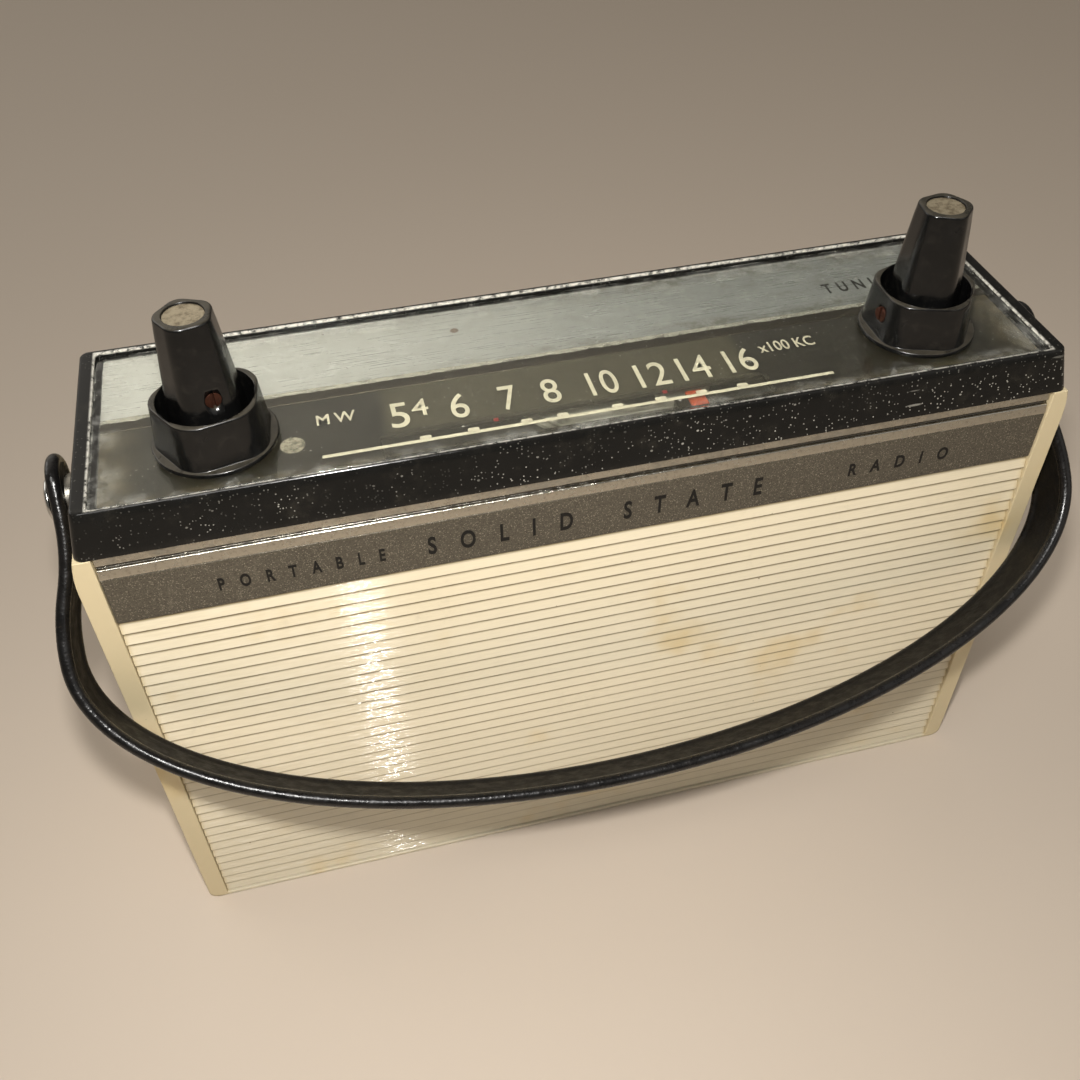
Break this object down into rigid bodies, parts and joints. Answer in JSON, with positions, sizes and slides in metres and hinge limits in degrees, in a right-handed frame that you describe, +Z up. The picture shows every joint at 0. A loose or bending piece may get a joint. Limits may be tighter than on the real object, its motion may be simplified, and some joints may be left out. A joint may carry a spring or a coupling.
{
  "type": "portable radio",
  "caption": "Tabletop portable transistor radio: ivory cabinet with ribbed front, black top cap with a clear dial window, tall concentric knobs and a swinging black strap.",
  "frame": {"origin": "middle of the cabinet's base, on the surface it stands on", "axes": "+X to the right seen from the front, +Y to the back, +Z up; the ribbed front faces -Y"},
  "size_m": [0.2604, 0.1032, 0.187],
  "materials": {
    "ivory_plastic": "aged satin moulding",
    "black_plastic": "glossy moulding with fine scratches",
    "clear_acrylic": "clear with fine scratches",
    "dial_brown": "satin dark brown",
    "brushed_silver": "brushed",
    "bright_metal": "polished with scuffs",
    "taupe_anodised": "fine metallic grain",
    "chrome": "polished",
    "nickel_steel": "nickel plated",
    "zinc_steel": "zinc plated sheet",
    "brass": "turned",
    "tarnished_brass": "tarnished",
    "pale_inlay": "satin disc, worn",
    "pointer_orange": "translucent orange",
    "strap_leather": "black grained face, glossy bound edge",
    "cord_nylon": "braided",
    "white_nylon": "moulded",
    "aluminium_can": "drawn",
    "control_shell": "plated",
    "capacitor_case": "translucent",
    "magnet_iron": "plain",
    "ferrite": "fired",
    "copper_wire": "enamelled",
    "paper_cone": "pressed",
    "black_cloth": "open weave",
    "phenolic": "sheet",
    "component_sleeve": "sleeved",
    "dark_plastic": "moulded",
    "cell_jacket": "printed jacket",
    "spring_plate": "nickel plated"
  },
  "bodies": {
    "cabinet": {"aerial_coils": "copper_wire", "audio_transformers": "magnet_iron", "battery_cells": "cell_jacket", "battery_contacts": "spring_plate", "battery_tray": "dark_plastic", "bright_moulding": "bright_metal", "bush_nuts": "nickel_steel", "cap_screws": "nickel_steel", "circuit_board": "phenolic", "dial_cord": "cord_nylon", "dial_lens": "clear_acrylic", "dial_plate": "dial_brown", "earphone_socket": "dark_plastic", "electrolytic_capacitors": "component_sleeve", "ferrite_rod": "ferrite", "fixing_screws": "nickel_steel", "front_case": "ivory_plastic", "front_grille_panel": "ivory_plastic", "grille_cloth": "black_cloth", "handle_pivots": "nickel_steel", "handle_rivets": "chrome", "idler_pins": "nickel_steel", "if_transformers": "aluminium_can", "pointer_rail": "nickel_steel", "power_switch": "control_shell", "rail_brackets": "zinc_steel", "resistors": "component_sleeve", "rod_holders": "dark_plastic", "silver_panel": "brushed_silver", "speaker_cone": "paper_cone", "speaker_frame": "zinc_steel", "speaker_magnet": "magnet_iron", "step_strip": "bright_metal", "top_cap": "black_plastic", "top_chassis": "zinc_steel", "transistors": "aluminium_can", "trim_band": "taupe_anodised", "tuning_bush": "brass", "tuning_capacitor": "capacitor_case", "volume_control": "control_shell"},
    "rear_cover": {"rear_cover": "ivory_plastic"},
    "cover_screw": {"cover_screw": "nickel_steel"},
    "handle": {"handle_strap": "strap_leather"},
    "volume": {"volume_knob": "black_plastic", "volume_knob_inlay": "pale_inlay", "volume_set_screw": "tarnished_brass", "volume_shaft": "brass"},
    "tone": {"tone_ring": "black_plastic", "tone_set_screw": "tarnished_brass", "tone_shaft": "brass"},
    "tuning": {"tuning_knob": "black_plastic", "tuning_knob_inlay": "pale_inlay", "tuning_skirt": "black_plastic", "tuning_set_screws": "tarnished_brass", "tuning_spindle": "brass"},
    "dial_drum": {"dial_drum": "white_nylon", "capacitor_shaft": "brass"},
    "idler_left": {"idler_left": "white_nylon"},
    "idler_right": {"idler_right": "white_nylon"},
    "pointer": {"dial_pointer": "pointer_orange"}
  },
  "joints": [
    {"name": "handle_swing", "type": "hinge", "parent": "cabinet", "child": "handle", "pos_m": [0, -0.005, 0.1385], "axis": [-1, 0, 0], "range_deg": [0, 268]},
    {"name": "volume_turn", "type": "hinge", "parent": "cabinet", "child": "volume", "pos_m": [-0.0852, -0.0128, 0.154], "axis": [0, 0, -1], "range_deg": [0, 300]},
    {"name": "tone_turn", "type": "hinge", "parent": "cabinet", "child": "tone", "pos_m": [-0.0852, -0.0128, 0.154], "axis": [0, 0, -1], "range_deg": [-135, 135]},
    {"name": "tuning_turn", "type": "hinge", "parent": "cabinet", "child": "tuning", "pos_m": [0.0852, -0.0128, 0.154], "axis": [0, 0, 1], "range_deg": [-1201.3, 267.9]},
    {"name": "drum_turn", "type": "hinge", "parent": "cabinet", "child": "dial_drum", "pos_m": [0.01, 0.002, 0.144], "axis": [0, 0, 1], "range_deg": [-148, 33.5]},
    {"name": "idler_left_turn", "type": "hinge", "parent": "cabinet", "child": "idler_left", "pos_m": [-0.063, -0.023, 0.144], "axis": [0, 0, 1], "range_deg": [-890, 200]},
    {"name": "idler_right_turn", "type": "hinge", "parent": "cabinet", "child": "idler_right", "pos_m": [0.063, -0.023, 0.144], "axis": [0, 0, 1], "range_deg": [-890, 200]},
    {"name": "pointer_slide", "type": "slide", "parent": "cabinet", "child": "pointer", "axis": [1, 0, 0], "range_m": [-0.0655, 0.015]},
    {"name": "rear_cover_off", "type": "slide", "parent": "cabinet", "child": "rear_cover", "axis": [0, 1, 0], "range_m": [0, 0.09]},
    {"name": "cover_screw_turn", "type": "hinge", "parent": "rear_cover", "child": "cover_screw", "pos_m": [-0.004, 0.0302, 0.013], "axis": [0, 1, 0], "range_deg": [0, 1080]}
  ],
  "couplings": [
    {"joint": "drum_turn", "follows": "tuning_turn", "ratio": 0.12253},
    {"joint": "idler_left_turn", "follows": "tuning_turn", "ratio": 0.73809},
    {"joint": "idler_right_turn", "follows": "tuning_turn", "ratio": 0.73809},
    {"joint": "pointer_slide", "follows": "tuning_turn", "m_per_rad": 0.0031}
  ]
}
